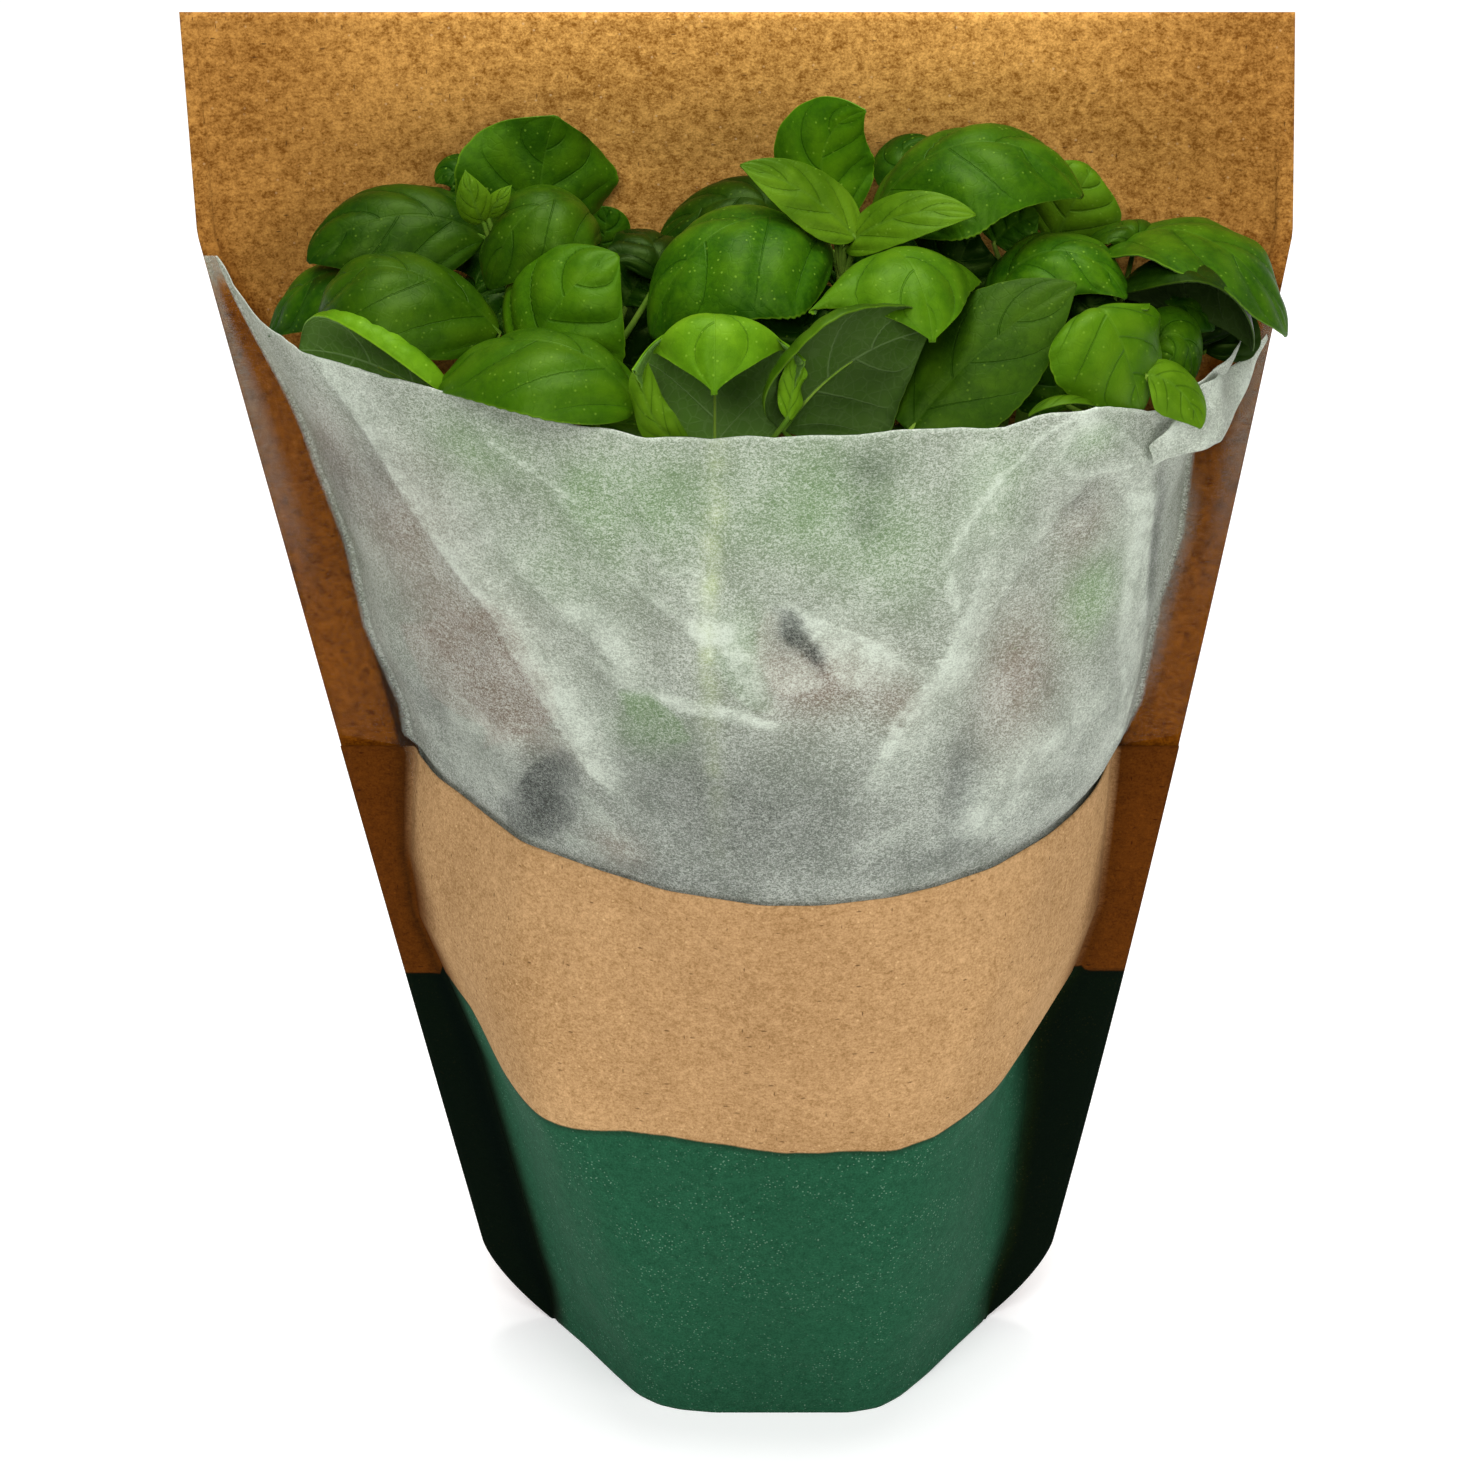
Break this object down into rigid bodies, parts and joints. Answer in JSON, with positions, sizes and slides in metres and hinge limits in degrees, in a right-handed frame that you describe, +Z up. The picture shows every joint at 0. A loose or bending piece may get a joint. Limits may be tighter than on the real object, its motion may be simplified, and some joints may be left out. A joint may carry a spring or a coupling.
{
  "type": "potted basil plant",
  "caption": "Basil plant in a nursery pot, standing in a tall paper sleeve with a translucent window and an open top.",
  "frame": {"origin": "middle of the sleeve's oval bottom, on the surface that it stands on", "axes": "+Z up, -Y towards the low front with its window, +X to the right seen from the front"},
  "size_m": [0.2745, 0.124, 0.3732],
  "materials": {
    "kraft_paper": "matte",
    "printed_paper": "matte",
    "window_paper": "matte",
    "pot_plastic": "satin",
    "potting_mix": "matte",
    "basil": "satin"
  },
  "bodies": {
    "root": {"sleeve_back_panel": "kraft_paper", "sleeve_front_panel": "printed_paper", "sleeve_window": "window_paper", "sleeve_bottom": "printed_paper", "nursery_pot": "pot_plastic", "soil_plug": "potting_mix", "stem_left_back": "basil", "stem_left_front": "basil", "stem_middle_left": "basil", "stem_front_left": "basil", "stem_middle_front": "basil", "stem_centre_front": "basil", "stem_centre": "basil", "stem_back": "basil", "stem_right_back": "basil", "stem_right": "basil", "stem_far_right": "basil", "stem_right_front": "basil"}
  },
  "joints": []
}
